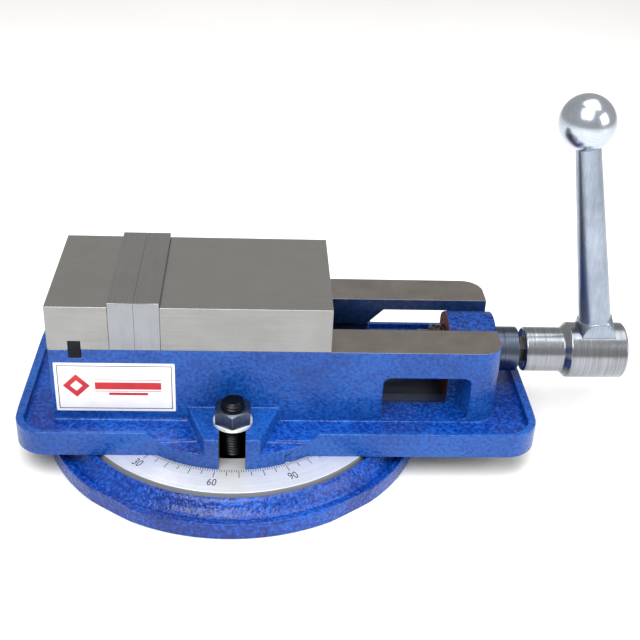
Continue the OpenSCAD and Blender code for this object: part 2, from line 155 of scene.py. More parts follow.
def new_material(name: str) -> tuple[Material, NodeTree, Node]:
    """Makes an empty node material with a Principled shader.

    Args:
        name: the material's name.

    Returns:
        The material, its tree and the Principled node.
    """
    made = bpy.data.materials.new(name)
    made.use_nodes = True
    tree = made.node_tree
    tree.nodes.clear()
    shader = add(tree, "ShaderNodeBsdfPrincipled")
    add(tree, "ShaderNodeOutputMaterial", {"Surface": shader.outputs[0]})
    return made, tree, shader


def link_object(name: str, mesh: Mesh) -> Object:
    """Puts a mesh in the scene as an object at the origin.

    Args:
        name: the object's name.
        mesh: its mesh.

    Returns:
        The new object.
    """
    made = bpy.data.objects.new(name, mesh)
    bpy.context.scene.collection.objects.link(made)
    return made


def mesh_from(name: str, points: Sequence[Sequence[float]], faces: Sequence[Sequence[int]]) -> Mesh:
    """Makes a mesh with outward normals from points in millimetres.

    Args:
        name: the mesh's name.
        points: corners in millimetres.
        faces: loops of corner numbers.

    Returns:
        The mesh, in metres.
    """
    mesh = bpy.data.meshes.new(name)
    mesh.from_pydata([[c * MM for c in p] for p in points], [], faces)
    bm = bmesh.new()
    bm.from_mesh(mesh)
    bmesh.ops.remove_doubles(bm, verts=bm.verts, dist=1e-7)
    bmesh.ops.recalc_face_normals(bm, faces=bm.faces)
    bm.to_mesh(mesh)
    bm.free()
    return mesh


def lathe(name: str, profile: Sequence[tuple[float, float]], steps: int = 96) -> Mesh:
    """Turns a profile about +Z.

    Args:
        name: the mesh's name.
        profile: (radius, height) pairs in millimetres, closed on the axis at both ends.
        steps: sides of the turned surface.

    Returns:
        The closed mesh.
    """
    points: list[tuple[float, float, float]] = []
    for radius, height in profile:
        for i in range(steps):
            a = 2 * math.pi * i / steps
            points.append((radius * math.cos(a), radius * math.sin(a), height))
    faces = []
    for j in range(len(profile) - 1):
        for i in range(steps):
            k = (i + 1) % steps
            faces.append((j * steps + i, j * steps + k, (j + 1) * steps + k, (j + 1) * steps + i))
    return mesh_from(name, points, faces)


def stacked(name: str, rings: Sequence[Sequence[tuple[float, float, float]]]) -> Mesh:
    """Skins outlines of equal count, one above the other, and closes both ends.

    Args:
        name: the mesh's name.
        rings: the outlines from the lowest up, in millimetres.

    Returns:
        The closed mesh.
    """
    n = len(rings[0])
    points = [point for ring in rings for point in ring]
    faces = [tuple(range(n - 1, -1, -1)), tuple(range(len(points) - n, len(points)))]
    for base in range(0, len(points) - n, n):
        faces += [(base + i, base + (i + 1) % n, base + n + (i + 1) % n, base + n + i) for i in range(n)]
    return mesh_from(name, points, faces)


def merged(name: str, meshes: Sequence[Mesh], material: Material) -> Mesh:
    """Joins meshes into one that has a single finish.

    Args:
        name: the new mesh's name.
        meshes: the meshes to join.
        material: the finish.

    Returns:
        The new mesh.
    """
    bm = bmesh.new()
    for mesh in meshes:
        bm.from_mesh(mesh)
    made = bpy.data.meshes.new(name)
    bm.to_mesh(made)
    bm.free()
    made.materials.clear()
    made.materials.append(material)
    return made


def smooth(obj: Object, degrees: float = 32) -> None:
    """Shades an object smooth except over edges sharper than an angle.

    Args:
        obj: the object.
        degrees: the angle from which an edge stays sharp.
    """
    mesh = obj.data
    mesh.polygons.foreach_set("use_smooth", [True] * len(mesh.polygons))
    mesh.set_sharp_from_angle(angle=math.radians(degrees))
    mod = obj.modifiers.new("even_normals", "WEIGHTED_NORMAL")
    mod.keep_sharp = True
    mod.weight = 80


def frozen(obj: Object) -> Object:
    """Turns an object with modifiers into a plain mesh of the same name.

    Args:
        obj: the object, whose modifiers are removed.

    Returns:
        The same object with the evaluated mesh.
    """
    graph = bpy.context.evaluated_depsgraph_get()
    graph.update()
    mesh = bpy.data.meshes.new_from_object(obj.evaluated_get(graph))
    obj.modifiers.clear()
    obj.data = mesh
    return obj


# ---------------------------------------------------------------- finishes
@dataclass(frozen=True)
class HammeredEnamel:
    """Sprayed hammer enamel on rough cast iron: glossy, with fine dimples and a soft change of tone."""

    name: str = "hammer_enamel_on_cast_iron"
    deep: str = "#0A3880"
    mid: str = "#0F4698"
    light: str = "#1957A9"
    dimple_mm: float = 2.0  # dimples of the hammer finish, drawn a little coarse so that they show
    swell_mm: float = 11.0  # slow unevenness of the sand casting under the paint
    depth: float = 0.6
    roughness: float = 0.28
    shine: float = 0.32  # how strongly the paint mirrors the studio

    def build(self) -> Material:
        """Makes the material.

        Returns:
            The finished material.
        """
        made, tree, shader = new_material(self.name)
        place = add(tree, "ShaderNodeTexCoord").outputs["Object"]
        dimple, swelling = self.dimple_mm * MM, self.swell_mm * MM
        cells = add(tree, "ShaderNodeTexVoronoi", {"Vector": place, "Scale": 1 / dimple, "Smoothness": 0.7},
                    feature="SMOOTH_F1")
        grit = add(tree, "ShaderNodeTexNoise", {"Vector": place, "Scale": 0.7 / dimple, "Detail": 2.0})
        swell = add(tree, "ShaderNodeTexNoise", {"Vector": place, "Scale": 1 / swelling, "Detail": 2.0})
        cloud = add(tree, "ShaderNodeTexNoise", {"Vector": place, "Scale": 16.0, "Detail": 2.0})
        height = add(tree, "ShaderNodeMath", {0: cells.outputs["Distance"], 1: 0.5, 2: grit.outputs["Fac"]},
                     operation="MULTIPLY_ADD")
        tone = add(tree, "ShaderNodeMix", {"Factor": 0.4, "A": grit.outputs["Fac"], "B": cloud.outputs["Fac"]},
                   data_type="FLOAT")
        colour = add(tree, "ShaderNodeValToRGB", {"Fac": tone.outputs[0]},
                     [(0.38, self.deep), (0.5, self.mid), (0.62, self.light)])
        fine = add(tree, "ShaderNodeBump",
                   {"Height": height.outputs[0], "Strength": self.depth, "Distance": 0.0009})
        wide = add(tree, "ShaderNodeBump", {"Height": swell.outputs["Fac"], "Strength": 0.4,
                                            "Distance": 0.003, "Normal": fine.outputs[0]})
        gloss = add(tree, "ShaderNodeMapRange",
                    {"Value": grit.outputs["Fac"], "From Min": 0.3, "From Max": 0.7,
                     "To Min": self.roughness - 0.06, "To Max": self.roughness + 0.14})
        for name, value in {"Base Color": colour.outputs[0], "Normal": wide.outputs[0],
                            "Roughness": gloss.outputs[0]}.items():
            tree.links.new(value, shader.inputs[name])
        shader.inputs["Specular IOR Level"].default_value = self.shine
        shader.inputs["Coat Weight"].default_value = COAT_SHARE * self.shine
        shader.inputs["Coat Roughness"].default_value = 0.12
        return made


@dataclass(frozen=True)
class WorkedSteel:
    """Ground, turned or brushed steel: a fine grain in one direction, broken by faint stains."""

    name: str
    light: str
    dark: str
    grain: Grain = Grain.ALONG_X
    line_mm: float = 0.5  # spacing of the grain lines, drawn coarser than real grinding so that it shows
    roughness: float = 0.33
    metallic: float = 1.0
    bump: float = 0.12
    stain: float = 0.35
    centre: tuple[float, float, float] = (0.0, 0.0, 0.0)

    def _grain_vector(self, tree: NodeTree, place: NodeSocket) -> NodeSocket:
        """Stretches coordinates along the grain.

        Args:
            tree: the material's tree.
            place: the socket with the object coordinates.

        Returns:
            The socket with the stretched coordinates.
        """
        line, run = 1 / (self.line_mm * MM), 14.0
        shifted = add(tree, "ShaderNodeMapping", {"Vector": place, "Location": [-c * MM for c in self.centre]})
        if self.grain in (Grain.RING_X, Grain.RING_Z):
            split = add(tree, "ShaderNodeSeparateXYZ", {0: shifted.outputs[0]})
            first, second, along = {Grain.RING_X: ("Y", "Z", "X"), Grain.RING_Z: ("X", "Y", "Z")}[self.grain]
            flat = add(tree, "ShaderNodeCombineXYZ", {0: split.outputs[first], 1: split.outputs[second]})
            radius = add(tree, "ShaderNodeVectorMath", {0: flat.outputs[0]}, operation="LENGTH")
            near = add(tree, "ShaderNodeMath", {0: radius.outputs["Value"], 1: line}, operation="MULTIPLY")
            far = add(tree, "ShaderNodeMath", {0: split.outputs[along], 1: line}, operation="MULTIPLY")
            spread = add(tree, "ShaderNodeVectorMath", {0: flat.outputs[0], "Scale": run}, operation="SCALE")
            back = add(tree, "ShaderNodeSeparateXYZ", {0: spread.outputs[0]})
            lift = add(tree, "ShaderNodeMath", {0: near.outputs[0], 1: far.outputs[0]}, operation="ADD")
            return add(tree, "ShaderNodeCombineXYZ",
                       {0: back.outputs["X"], 1: back.outputs["Y"], 2: lift.outputs[0]}).outputs[0]
        scale = {Grain.ALONG_X: (run, line, line), Grain.ALONG_Y: (line, run, line),
                 Grain.ALONG_Z: (line, line, run), Grain.NONE: (line, line, line)}[self.grain]
        return add(tree, "ShaderNodeMapping", {"Vector": shifted.outputs[0], "Scale": scale}).outputs[0]

    def build(self) -> Material:
        """Makes the material.

        Returns:
            The finished material.
        """
        made, tree, shader = new_material(self.name)
        place = add(tree, "ShaderNodeTexCoord").outputs["Object"]
        lines = add(tree, "ShaderNodeTexNoise",
                    {"Vector": self._grain_vector(tree, place), "Scale": 1.0, "Detail": 4.0, "Roughness": 0.65})
        stains = add(tree, "ShaderNodeTexNoise",
                     {"Vector": place, "Scale": 38.0, "Detail": 4.0, "Roughness": 0.6})
        tone = add(tree, "ShaderNodeMix",
                   {"Factor": self.stain, "A": lines.outputs["Fac"], "B": stains.outputs["Fac"]},
                   data_type="FLOAT")
        colour = add(tree, "ShaderNodeValToRGB", {"Fac": tone.outputs[0]},
                     [(0.3, self.dark), (0.7, self.light)])
        rough = add(tree, "ShaderNodeMapRange",
                    {"Value": tone.outputs[0], "From Min": 0.25, "From Max": 0.75,
                     "To Min": self.roughness + 0.09, "To Max": self.roughness - 0.07})
        bump = add(tree, "ShaderNodeBump",
                   {"Height": lines.outputs["Fac"], "Strength": self.bump, "Distance": 0.0004})
        for name, value in {"Base Color": colour.outputs[0], "Normal": bump.outputs[0],
                            "Roughness": rough.outputs[0]}.items():
            tree.links.new(value, shader.inputs[name])
        shader.inputs["Metallic"].default_value = self.metallic
        return made


@dataclass(frozen=True)
class MattePaint:
    """Primer, ink or printed film: little gloss, faint mottling."""

    name: str
    light: str
    dark: str
    roughness: float = 0.6
    mottle_mm: float = 6.0
    bump: float = 0.1

    def build(self) -> Material:
        """Makes the material.

        Returns:
            The finished material.
        """
        made, tree, shader = new_material(self.name)
        place = add(tree, "ShaderNodeTexCoord").outputs["Object"]
        mottle = add(tree, "ShaderNodeTexNoise",
                     {"Vector": place, "Scale": 1 / (self.mottle_mm * MM), "Detail": 5.0})
        colour = add(tree, "ShaderNodeValToRGB", {"Fac": mottle.outputs["Fac"]},
                     [(0.35, self.dark), (0.65, self.light)])
        bump = add(tree, "ShaderNodeBump",
                   {"Height": mottle.outputs["Fac"], "Strength": self.bump, "Distance": 0.0006})
        tree.links.new(colour.outputs[0], shader.inputs["Base Color"])
        tree.links.new(bump.outputs[0], shader.inputs["Normal"])
        shader.inputs["Roughness"].default_value = self.roughness
        return made


@dataclass
class Paints:
    """Every finish of the vise, made once."""

    made: dict[str, Material] = field(default_factory=dict)

    def of(self, finish: HammeredEnamel | WorkedSteel | MattePaint) -> Material:
        """Gives the material of a finish, and makes it the first time.

        Args:
            finish: the finish.

        Returns:
            Its material.
        """
        if finish.name not in self.made:
            self.made[finish.name] = finish.build()
        return self.made[finish.name]


# hammer enamel as sprayed on the cast walls: bright mid blue, glossy, dimpled
ENAMEL = HammeredEnamel()
# the same enamel on pocket floors, window tunnels and the base: darker as painted shade on the up-facing floors,
# and wetter
ENAMEL_PAINTED_SHADE = HammeredEnamel("hammer_enamel_painted_shade", "#03226A", "#083890", "#1655B4", depth=0.75, roughness=0.2)
# the bearing dome: the darkest blue, as painted shade
ENAMEL_DOME_SHADE = HammeredEnamel("hammer_enamel_dome_painted_shade", "#021642", "#062765", "#134393", depth=0.8,
                             roughness=0.24, shine=0.12)
# thin spray that reached the inner walls, darkened to a dull navy as painted shade in the cavity, between the
# rails and in the dial groove
ENAMEL_INNER_SHADE = MattePaint("enamel_overspray_and_painted_shade", "#15305F", "#0B1B3C", 0.45, 3.0, 0.25)
# oxide primer left bare on the inner end of the bearing housing: dull brick red
PRIMER = MattePaint("red_oxide_primer", "#6B2A22", "#451813", 0.75, 3.0, 0.3)
# surface-ground jaw tops: light warm grey with a fine straight grain, painted lighter than the flanks as painted
# light
GROUND_TOP_LIT = WorkedSteel("ground_steel_face", "#A8A7A5", "#939290", Grain.ALONG_X, 0.45, 0.3)
# ground jaw flanks: the same steel, rougher, and painted darker than the tops as painted shade
GROUND_SIDE_SHADED = WorkedSteel("ground_steel_side", "#9FA09E", "#8A8A88", Grain.ALONG_X, 0.5, 0.36)
# ground tops of the hard plates: grain across the jaw, painted lighter than the sides as painted light
PLATE_TOP_LIT = WorkedSteel("ground_plate_face", "#A3A3A5", "#8A8A8A", Grain.ALONG_Y, 0.45, 0.28)
# ground faces of the hard plates: paler and cooler than the jaws, painted darker than the plate tops as painted
# shade
PLATE_SIDE_SHADED = WorkedSteel("ground_plate_side", "#9DA0A5", "#8A8C90", Grain.ALONG_Z, 0.45, 0.34)
# ground bed, handled and oiled: browner, with soft stains
BED_STEEL = WorkedSteel("ground_bed", "#A09A96", "#7D7672", Grain.ALONG_X, 0.5, 0.32, stain=0.6)
# bored iron: mid grey, no grain
BORE_STEEL = WorkedSteel("bored_cast_iron", "#77777A", "#4F4F51", Grain.NONE, 1.2, 0.42)
# turned dial: near white as a painted sheen of the rings under the front lights, with faint rings
DIAL_STEEL = WorkedSteel("turned_dial", "#F2F4F6", "#C9CDD2", Grain.RING_Z, 0.6, 0.45, metallic=0.6)
# machined underside: grey iron with turning rings
BASE_IRON = WorkedSteel("machined_iron_underside", "#8F8E8B", "#6C6B69", Grain.RING_Z, 1.0, 0.45)
# brushed hub: bright rings round the screw
BRUSHED = WorkedSteel("brushed_crank_steel", "#A9ACB2", "#717479", Grain.RING_X, 0.8, 0.22,
                      bump=0.25, stain=0.2, centre=SCREW_LINE)
# polished forging, slightly streaked along the arm; its cool blue tint is a painted reflection
FORGED = WorkedSteel("forged_polished_steel", "#A7B2C1", "#7F8895", Grain.ALONG_Z, 0.9, 0.3,
                     bump=0.25, stain=0.5)
# polished ball: pale blue-white base colour as a painted highlight and reflection
BALL_STEEL = WorkedSteel("polished_ball", "#D2DBE6", "#A7AFBA", Grain.ALONG_X, 0.8, 0.2, bump=0.08)
# turned screw steel: dark brown-grey, darkened as painted shade for the gap at the crank hub
SCREW_STEEL_SHADED = WorkedSteel("turned_screw_steel", "#55534F", "#2C2B29", Grain.RING_X, 0.6, 0.35,
                          centre=SCREW_LINE)
# oiled iron of the nut: almost black
DARK_IRON = WorkedSteel("oiled_cast_iron", "#4E4C4A", "#2E2C2A", Grain.NONE, 2.0, 0.5)
# black oxide on screws and studs: black with a soft sheen
OXIDE = WorkedSteel("black_oxide_steel", "#2E2F34", "#141518", Grain.NONE, 1.4, 0.34, bump=0.15)
# black oxide collar with turned rings: its lighter blue-grey tone is a painted reflection
OXIDE_COLLAR = WorkedSteel("turned_black_oxide", "#6C7689", "#2C313B", Grain.RING_X, 0.7, 0.28,
                           centre=SCREW_LINE)
# oiled clamp nuts: dark blue-grey
OXIDE_NUT = WorkedSteel("oiled_dark_nut", "#66707F", "#383E49", Grain.NONE, 1.6, 0.32, bump=0.15)
# zinc plate on the washers: whitish, soft shine
ZINC = WorkedSteel("bright_zinc_plate", "#F4F6F5", "#D9DCDC", Grain.NONE, 1.5, 0.45, metallic=0.35)
# pressed brass of the ball cage: dull old gold
BRASS = WorkedSteel("pressed_brass", "#6E5A30", "#3E321B", Grain.NONE, 1.5, 0.35)
# printed film of the label: clean white
LABEL_FILM = MattePaint("white_printed_film", "#F4F4F3", "#E9E9E8", 0.35, 20.0, 0.02)
# red ink of the label
LABEL_RED = MattePaint("red_printing_ink", "#C8202C", "#B41A26", 0.4, 8.0, 0.02)
# dark blue ink of the label's border
LABEL_LINE = MattePaint("dark_printing_ink", "#2B3E6B", "#22335A", 0.4, 8.0, 0.02)
# ink in the engraved lines and numbers: flat black
ENGRAVING = MattePaint("engraving_ink", "#1B1B1D", "#0C0C0E", 0.6, 3.0, 0.05)
# studio floor: near white, no pattern to see
FLOOR_PAINT = MattePaint("pale_studio_floor", "#FBFBFB", "#F7F7F7", 0.7, 400.0, 0.0)


# ---------------------------------------------------------------- pieces that copy a CAD node
@dataclass
class DressedNode:
    """A copy of a CAD node with softened edges and a finish for each face."""

    node: str
    slot: Slot
    finishes: tuple[HammeredEnamel | WorkedSteel | MattePaint, ...]
    edge_mm: float = 0.4
    segments: int = 2
    sharp_deg: float = 28.0
    # planes (axis, mm) through holes, so that no flat face has a hole in it
    cuts: tuple[tuple[int, float], ...] = ()

    def face_rule(self, centre: Vector, normal: Vector) -> int:
        """Number of the finish of a face at a place in millimetres."""
        return 0

    def edge_rule(self, mid: Vector, convex: bool) -> float:
        """Radius in millimetres that an edge is softened by."""
        return self.edge_mm

    def build(self, paints: Paints) -> Object:
        """Makes the copy, dresses it and lets it stand for its node.

        Args:
            paints: the finishes made so far.

        Returns:
            The new object.
        """
        source = frame["nodes"][self.node]
        mesh = bpy.data.meshes.new(self.node + "_skin")
        bm = bmesh.new()
        bm.from_mesh(source.data)
        bmesh.ops.remove_doubles(bm, verts=bm.verts, dist=2e-6)
        for axis, value in self.cuts:
            normal = Vector([float(i == axis) for i in range(3)])
            cut = bmesh.ops.bisect_plane(bm, geom=[*bm.verts, *bm.edges, *bm.faces],
                                         plane_co=normal * value * MM, plane_no=normal, dist=1e-6)
            for part in cut["geom_cut"]:
                if isinstance(part, bmesh.types.BMEdge):
                    part.seam = True
        for face in bm.faces:
            face.material_index = self.face_rule(face.calc_center_median() / MM, face.normal)
        bmesh.ops.dissolve_limit(bm, angle_limit=math.radians(0.5), verts=bm.verts, edges=bm.edges,
                                 delimit={"MATERIAL", "SEAM"})
        weight = bm.edges.layers.float.new("bevel_weight_edge")
        widest = 0.001
        sizes = {}
        for edge in bm.edges:
            if len(edge.link_faces) != 2:
                continue
            one, two = edge.link_faces
            if one.normal.angle(two.normal, 0.0) < math.radians(self.sharp_deg):
                continue
            mid = (edge.verts[0].co + edge.verts[1].co) / 2 / MM
            sizes[edge] = self.edge_rule(mid, edge.is_convex)
            widest = max(widest, sizes[edge])
        for edge, size in sizes.items():
            edge[weight] = size / widest
        bm.to_mesh(mesh)
        bm.free()
        obj = link_object(self.node + "_piece", mesh)
        for finish in self.finishes:
            mesh.materials.append(paints.of(finish))
        mod = obj.modifiers.new("softened", "BEVEL")
        mod.limit_method = "WEIGHT"
        mod.width = widest * MM
        mod.segments = self.segments
        mod.use_clamp_overlap = False
        frozen(obj)
        smooth(obj)
        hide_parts(self.node)
        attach(obj, source["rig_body"])
        LOG.info("%s: %d faces", obj.name, len(obj.data.polygons))
        return obj


@dataclass
class ViseBody(DressedNode):
    """The cast body: enamel outside, thin spray darkened as painted shade in the cavity, ground bed and bored
    holes.
    """

    bed_z: float = 109.0
    panel_z: float = 41.0
    half_w: float = 63.5
    cavity_y: float = 36.2
    cavity_z: float = 84.1
    rail_gap: float = 26.0
    seat_z: float = 26.5  # just over the face that stands on the base
    key_x: tuple[float, float] = (-133.0, -121.0)
    boss_x: float = 184.0
    boss_r: float = 32.6
    bore_r: float = 13.2
    window_x: float = 110.0
    pilot_r: float = 31.0
    stud_y: float = 81.5
    stud_r: float = 11.5

    def face_rule(self, centre: Vector, normal: Vector) -> int:
        """0 enamel, 1 darker enamel as painted shade, 2 primer, 3 ground bed, 4 bored iron, 5 thin spray
        darkened as painted shade, 6 darkest enamel as painted shade on the dome.

        Args:
            centre: middle of the face in millimetres.
            normal: its outward direction.

        Returns:
            Place of its finish in the list.
        """
        x, y, z = centre
        if normal.z > 0.9 and z > self.bed_z - 0.3 and abs(y) > self.rail_gap - 1:
            return 3
        if self.key_x[0] < x < self.key_x[1] and 95 < z < self.bed_z + 1 and abs(y) <= self.half_w:
            return 3 if abs(normal.y) < 0.5 and z > 100 else 0
        if normal.z < -0.9 and z < self.seat_z:
            return 4
        if math.hypot(y, z - SCREW_Z) < self.bore_r and x > self.boss_x - 4:
            return 4
        if math.hypot(x, y) < self.pilot_r:
            return 4
        if math.hypot(x, abs(y) - self.stud_y) < self.stud_r and abs(normal.z) < 0.3 and z < 54.5:
            return 4
        if abs(x) < 11 and abs(y) > 78 and abs(normal.x) > 0.9:
            return 4
        if normal.x < -0.9 and self.boss_x - 4 < x < self.boss_x and abs(y) < 38:
            return 2
        # cavity and inner rail walls: dull navy as painted shade over the thin spray
        if abs(y) < self.cavity_y and z < self.cavity_z and -72 < x < self.boss_x:
            return 5
        if abs(y) < self.rail_gap + 0.2 and z > self.cavity_z - 1 and abs(normal.y) > 0.9:
            return 5
        # window tunnels: darker enamel as painted shade
        if self.window_x < x < self.boss_x and abs(y) < self.half_w - 3.5 and 42 < z < 99:
            return 1
        # bearing dome: darkest enamel as painted shade
        off_dome = abs(math.hypot(y, z - SCREW_Z) - self.boss_r)
        if x > self.boss_x - 2 and abs(y) < self.rail_gap + 3 and off_dome < 0.6:
            return 6
        if abs(x) < 60 and math.hypot(x, abs(y) - 96) < 8 and z < 30:
            return 4
        # low up-facing floors: darker enamel as painted shade
        if normal.z > 0.9 and z < self.panel_z + 2:
            return 1
        return 0

    def edge_rule(self, mid: Vector, convex: bool) -> float:
        """Cast edges are round, worked edges are nearly sharp.

        Args:
            mid: middle of the edge in millimetres.
            convex: whether it is an outer edge.

        Returns:
            Radius in millimetres.
        """
        x, y, z = mid
        if z < self.seat_z or (abs(y) < 37 and z < 84.5):
            return 0.0
        if z > self.bed_z - 0.5:
            return 0.7
        if abs(x) < 12 and abs(y) > 70:
            return 0.6
        if abs(x) < 46 and abs(y) > self.half_w + 1 and z > self.panel_z + 1:
            return 1.6 if convex else 2.4
        if math.hypot(y, z - SCREW_Z) < self.bore_r:
            return 0.5
        if self.window_x < x < 200 and self.panel_z + 1 < z < 100 and abs(y) < self.half_w + 0.5:
            return 1.3 if abs(y) > self.half_w - 0.5 and z > self.panel_z + 2.5 else 0.0
        if not convex and abs(z - self.panel_z) < 1.0:
            if x > 0 and abs(y) < self.half_w + 1:
                return 1.3
            return 3.2 if abs(y) < self.half_w + 1 and x > -160 else 1.8
        if 41.5 < z < 60 and abs(y) > 60:
            return 1.1
        if not convex:
            return 1.5
        return 1.2


@dataclass
class SwivelBase(DressedNode):
    """The cast swivel base: enamelled edge round a turned dial."""

    dial_r: float = 139.0
    base_h: float = 25.4

    def face_rule(self, centre: Vector, normal: Vector) -> int:
        """0 darker enamel as painted shade, 1 turned dial, 2 machined iron, 3 groove darkened as painted shade.

        Args:
            centre: middle of the face in millimetres.
            normal: its outward direction.

        Returns:
            Place of its finish in the list.
        """
        x, y, z = centre
        r = math.hypot(x, y)
        if r < self.dial_r + 0.2 and z > self.base_h - 0.2:
            return 1
        if r < self.dial_r - 1 or (normal.z < -0.9 and z < 1):
            return 2
        if r < self.dial_r + 0.3 and z > self.base_h - 8.5 and abs(normal.z) < 0.3:
            return 1
        # groove beside the dial: dark navy as painted shade in the recess
        if r < self.dial_r + 4.8 and z > self.base_h - 8.5:
            return 3
        # rest of the cast base: darker enamel as painted shade
        return 0

    def edge_rule(self, mid: Vector, convex: bool) -> float:
        """Round on the cast ears, fine on the turned ring.

        Args:
            mid: middle of the edge in millimetres.
            convex: not used.

        Returns:
            Radius in millimetres.
        """
        r = math.hypot(mid.x, mid.y)
        if r < self.dial_r + 6:
            return 0.4
        flat_ear = abs(mid.x) > 150 and abs(mid.y) < 39 and r > 166
        return 0.8 if flat_ear and mid.z > 3 else 0.15


@dataclass
class GroundBlock(DressedNode):
    """A jaw or plate: one grain on the top, another on the sides, with the top painted lighter as painted light
    and the sides darker as painted shade.
    """

    def face_rule(self, centre: Vector, normal: Vector) -> int:
        """0 top and bottom, 1 sides."""
        return 0 if abs(normal.z) > 0.7 else 1

    def edge_rule(self, mid: Vector, convex: bool) -> float:
        """The meeting faces of the plates keep their edges almost sharp."""
        return 0.12 if abs(mid.x + 78.8) < 0.3 else self.edge_mm


# ---------------------------------------------------------------- geometry node pieces
class Tree:
    """A geometry node tree with named inputs."""

    def __init__(self, name: str, sizes: dict[str, tuple[str, object]]) -> None:
        """Makes the tree.

        Args:
            name: the tree's name.
            sizes: input name to its socket type and value.
        """
        self.tree = bpy.data.node_groups.new(name, "GeometryNodeTree")
        self.values: dict[str, object] = {}
        for label, (kind, value) in sizes.items():
            item = self.tree.interface.new_socket(name=label, in_out="INPUT", socket_type=kind)
            self.values[item.identifier] = value
        self.tree.interface.new_socket(name="Geometry", in_out="OUTPUT", socket_type="NodeSocketGeometry")
        self.inputs = add(self.tree, "NodeGroupInput").outputs

    def add(self, kind: str, links: dict | None = None, **settings: object) -> Node:
        """Adds a node to this tree."""
        return add(self.tree, kind, links, **settings)

    def finish(self, geometry: NodeSocket, name: str, material: Material) -> Object:
        """Ends the tree and turns its result into a plain mesh object.

        Args:
            geometry: the last geometry socket.
            name: the piece's name.
            material: the finish that the tree sets.

        Returns:
            The object with a plain mesh.
        """
        real = self.add("GeometryNodeRealizeInstances", {0: geometry})
        dressed = self.add("GeometryNodeSetMaterial", {0: real.outputs[0], "Material": material})
        self.add("NodeGroupOutput", {0: dressed.outputs[0]})
        obj = link_object(name, bpy.data.meshes.new(name))
        mod = obj.modifiers.new("made", "NODES")
        mod.node_group = self.tree
        for identifier, value in self.values.items():
            mod[identifier] = value
        return frozen(obj)


@dataclass
class Thread:
    """A helical thread ridge that winds over a plain core."""

    name: str
    outer_mm: float
    pitch_mm: float
    length_mm: float
    depth_mm: float
    left_hand: bool = False
    square: bool = False
    sides: int = 40

    def build(self, material: Material) -> Object:
        """Makes the ridge along +Z from the origin.

        Args:
            material: its finish.

        Returns:
            The object, in metres.
        """
        made = Tree(self.name + "_tree", {
            "Turns": ("NodeSocketFloat", self.length_mm / self.pitch_mm),
            "Radius": ("NodeSocketFloat", (self.outer_mm - self.depth_mm) * MM),
            "Length": ("NodeSocketFloat", self.length_mm * MM),
            "Width": ("NodeSocketFloat", self.pitch_mm * MM * (0.5 if self.square else 0.98)),
            "Depth": ("NodeSocketFloat", self.depth_mm * MM),
            "Sides": ("NodeSocketInt", self.sides),
        })
        spiral = made.add("GeometryNodeCurveSpiral", {
            "Resolution": made.inputs["Sides"], "Rotations": made.inputs["Turns"],
            "Start Radius": made.inputs["Radius"], "End Radius": made.inputs["Radius"],
            "Height": made.inputs["Length"], "Reverse": self.left_hand})
        upright = made.add("GeometryNodeSetCurveNormal", {0: spiral.outputs[0]}, mode="Z_UP")
        twice = made.add("ShaderNodeMath", {0: made.inputs["Depth"], 1: 2.0}, operation="MULTIPLY")
        if self.square:
            section = made.add("GeometryNodeCurvePrimitiveQuadrilateral",
                               {"Width": twice.outputs[0], "Height": made.inputs["Width"]}, mode="RECTANGLE")
        else:
            half = made.add("ShaderNodeMath", {0: made.inputs["Width"], 1: 0.5}, operation="MULTIPLY")
            section = made.add("GeometryNodeCurvePrimitiveQuadrilateral",
                               {"Width": twice.outputs[0], "Bottom Height": half.outputs[0],
                                "Top Height": half.outputs[0]}, mode="KITE")
        swept = made.add("GeometryNodeCurveToMesh",
                         {0: upright.outputs[0], 1: section.outputs[0], "Fill Caps": True})
        return made.finish(swept.outputs[0], self.name, material)


@dataclass
class TickRing:
    """Engraved lines of one length round the dial."""

    name: str
    count: int
    inner_mm: float
    outer_mm: float
    width_mm: float
    phase_deg: float
    top_mm: float
    rise_mm: float = 0.03

    def build(self, material: Material) -> Object:
        """Makes the ring of lines.

        Args:
            material: the engraving's finish.

        Returns:
            The object, in the row frame.
        """
        made = Tree(self.name + "_tree", {
            "Count": ("NodeSocketInt", self.count),
            "Radius": ("NodeSocketFloat", (self.inner_mm + self.outer_mm) / 2 * MM),
            "Length": ("NodeSocketFloat", (self.outer_mm - self.inner_mm) * MM),
            "Width": ("NodeSocketFloat", self.width_mm * MM),
            "Height": ("NodeSocketFloat", self.rise_mm * MM),
            "Level": ("NodeSocketFloat", self.top_mm * MM),
            "Phase": ("NodeSocketFloat", math.radians(self.phase_deg)),
        })
        ring = made.add("GeometryNodeMeshCircle",
                        {"Vertices": made.inputs["Count"], "Radius": made.inputs["Radius"]})
        size = made.add("ShaderNodeCombineXYZ", {0: made.inputs["Length"], 1: made.inputs["Width"],
                                                 2: made.inputs["Height"]})
        line = made.add("GeometryNodeMeshCube", {"Size": size.outputs[0]})
        place = made.add("GeometryNodeInputPosition")
        facing = made.add("FunctionNodeAlignEulerToVector", {"Vector": place.outputs[0]}, axis="X")
        lines = made.add("GeometryNodeInstanceOnPoints",
                         {"Points": ring.outputs[0], "Instance": line.outputs[0], "Rotation": facing.outputs[0]})
        turn = made.add("ShaderNodeCombineXYZ", {2: made.inputs["Phase"]})
        lift = made.add("ShaderNodeCombineXYZ", {2: made.inputs["Level"]})
        put = made.add("GeometryNodeTransform", {"Geometry": lines.outputs[0], "Translation": lift.outputs[0],
                                                 "Rotation": turn.outputs[0]})
        return made.finish(put.outputs[0], self.name, material)


